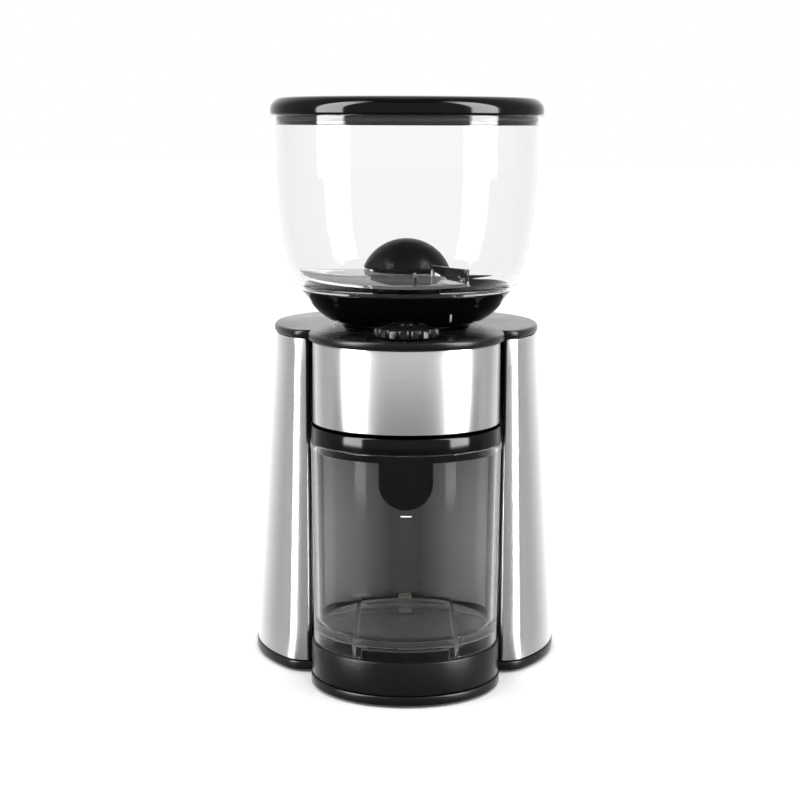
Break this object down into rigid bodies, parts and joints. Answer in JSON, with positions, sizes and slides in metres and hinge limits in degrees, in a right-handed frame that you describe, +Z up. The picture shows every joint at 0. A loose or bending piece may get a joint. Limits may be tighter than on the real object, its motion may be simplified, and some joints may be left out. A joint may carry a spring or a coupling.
{
  "type": "burr coffee grinder",
  "caption": "Electric burr coffee grinder: brushed steel body on a black base, clear round bean hopper with black lid, and a clear grounds container in a bay at the front.",
  "frame": {"origin": "on the table under the middle of the body's bounding box", "axes": "+Z up, -Y towards the user (front with the grounds container and dial), +X to the right seen from the front"},
  "size_m": [0.158, 0.208, 0.29],
  "materials": {
    "gloss_black": "polished black",
    "satin_black": "fine satin black",
    "dark_plastic": "plain moulded",
    "bay_grey": "satin dark grey",
    "brushed_steel": "horizontal brushing",
    "bright_steel": "machined",
    "clear_plastic": "clear polished",
    "bronze": "sintered",
    "rubber": "soft matte",
    "nylon": "natural moulded",
    "copper": "wound wire",
    "board": "coated board"
  },
  "bodies": {
    "body": {"base_plate": "satin_black", "base_plinth": "satin_black", "base_screw_1": "bright_steel", "base_screw_2": "bright_steel", "base_screw_3": "bright_steel", "base_screw_4": "bright_steel", "foot_1": "rubber", "foot_2": "rubber", "foot_3": "rubber", "foot_4": "rubber", "bay_wall": "bay_grey", "panel_core": "gloss_black", "front_panel": "brushed_steel", "left_skin": "brushed_steel", "right_skin": "brushed_steel", "back_cover": "satin_black", "top_deck": "satin_black", "cord_gland": "rubber", "gearbox_plate": "dark_plastic", "motor_can": "bright_steel", "motor_end_cap": "gloss_black", "left_magnet": "dark_plastic", "right_magnet": "dark_plastic", "motor_screw_1": "bright_steel", "motor_screw_2": "bright_steel", "lower_bush": "bronze", "upper_bush": "bronze", "idler_pin": "bright_steel", "grinding_chamber": "dark_plastic", "chute": "gloss_black", "selector_switch": "dark_plastic", "start_switch": "gloss_black", "control_board": "board", "power_board": "board", "container_switch": "gloss_black"},
    "motor": {"motor_armature": "copper", "motor_pinion": "bronze"},
    "idler": {"idler_gear": "nylon"},
    "burrs": {"drive_gear": "nylon", "drive_shaft": "bright_steel", "burr_hub": "dark_plastic", "lower_burr": "bright_steel", "feed_screw": "dark_plastic"},
    "burr_carrier": {"upper_burr_carrier": "satin_black", "upper_burr": "bright_steel"},
    "grind_ring": {"adjuster_ring": "dark_plastic"},
    "hopper": {"hopper": "clear_plastic", "hopper_funnel": "gloss_black", "hopper_collar": "gloss_black", "bean_dome": "gloss_black", "bean_guard": "clear_plastic"},
    "hopper_lid": {"hopper_lid": "gloss_black", "lid_seal": "rubber"},
    "dial": {"dial": "satin_black"},
    "start_button": {"start_button": "gloss_black"},
    "container": {"container": "clear_plastic", "container_lid": "gloss_black"},
    "plunger": {"interlock_plunger": "nylon"}
  },
  "joints": [
    {"name": "motor_spin", "type": "hinge", "parent": "body", "child": "motor", "pos_m": [0, 0.0415, 0.1], "axis": [0, 0, 1], "continuous": true},
    {"name": "idler_spin", "type": "hinge", "parent": "body", "child": "idler", "pos_m": [0, 0.0115, 0.14], "axis": [0, 0, 1], "continuous": true},
    {"name": "burr_spin", "type": "hinge", "parent": "body", "child": "burrs", "pos_m": [0, -0.026, 0.15], "axis": [0, 0, 1], "continuous": true},
    {"name": "grind_turn", "type": "hinge", "parent": "body", "child": "grind_ring", "pos_m": [0, -0.026, 0.165], "axis": [0, 0, 1], "range_deg": [-45, 45]},
    {"name": "carrier_lift", "type": "slide", "parent": "body", "child": "burr_carrier", "axis": [0, 0, 1], "range_m": [-0.0004, 0.0004]},
    {"name": "hopper_lift", "type": "slide", "parent": "grind_ring", "child": "hopper", "axis": [0, 0, 1], "range_m": [0, 0.06]},
    {"name": "lid_lift", "type": "slide", "parent": "hopper", "child": "hopper_lid", "axis": [0, 0, 1], "range_m": [0, 0.05]},
    {"name": "dial_turn", "type": "hinge", "parent": "body", "child": "dial", "pos_m": [0, -0.082, 0.178], "axis": [0, 0, 1], "range_deg": [-270, 0]},
    {"name": "button_press", "type": "slide", "parent": "body", "child": "start_button", "axis": [0, 0, -1], "range_m": [0, 0.0015], "stiffness_N_per_m": 900, "springref_m": -0.0012},
    {"name": "container_slide", "type": "slide", "parent": "body", "child": "container", "axis": [0, -1, 0], "range_m": [0, 0.12]},
    {"name": "plunger_slide", "type": "slide", "parent": "body", "child": "plunger", "axis": [0, -1, 0], "range_m": [0, 0.002]}
  ],
  "couplings": [
    {"joint": "idler_spin", "follows": "motor_spin", "ratio": -0.25},
    {"joint": "burr_spin", "follows": "motor_spin", "ratio": 0.0625},
    {"joint": "carrier_lift", "follows": "grind_turn", "m_per_rad": 0.0005},
    {"joint": "plunger_slide", "follows": "container_slide", "ratio": 0.016}
  ]
}
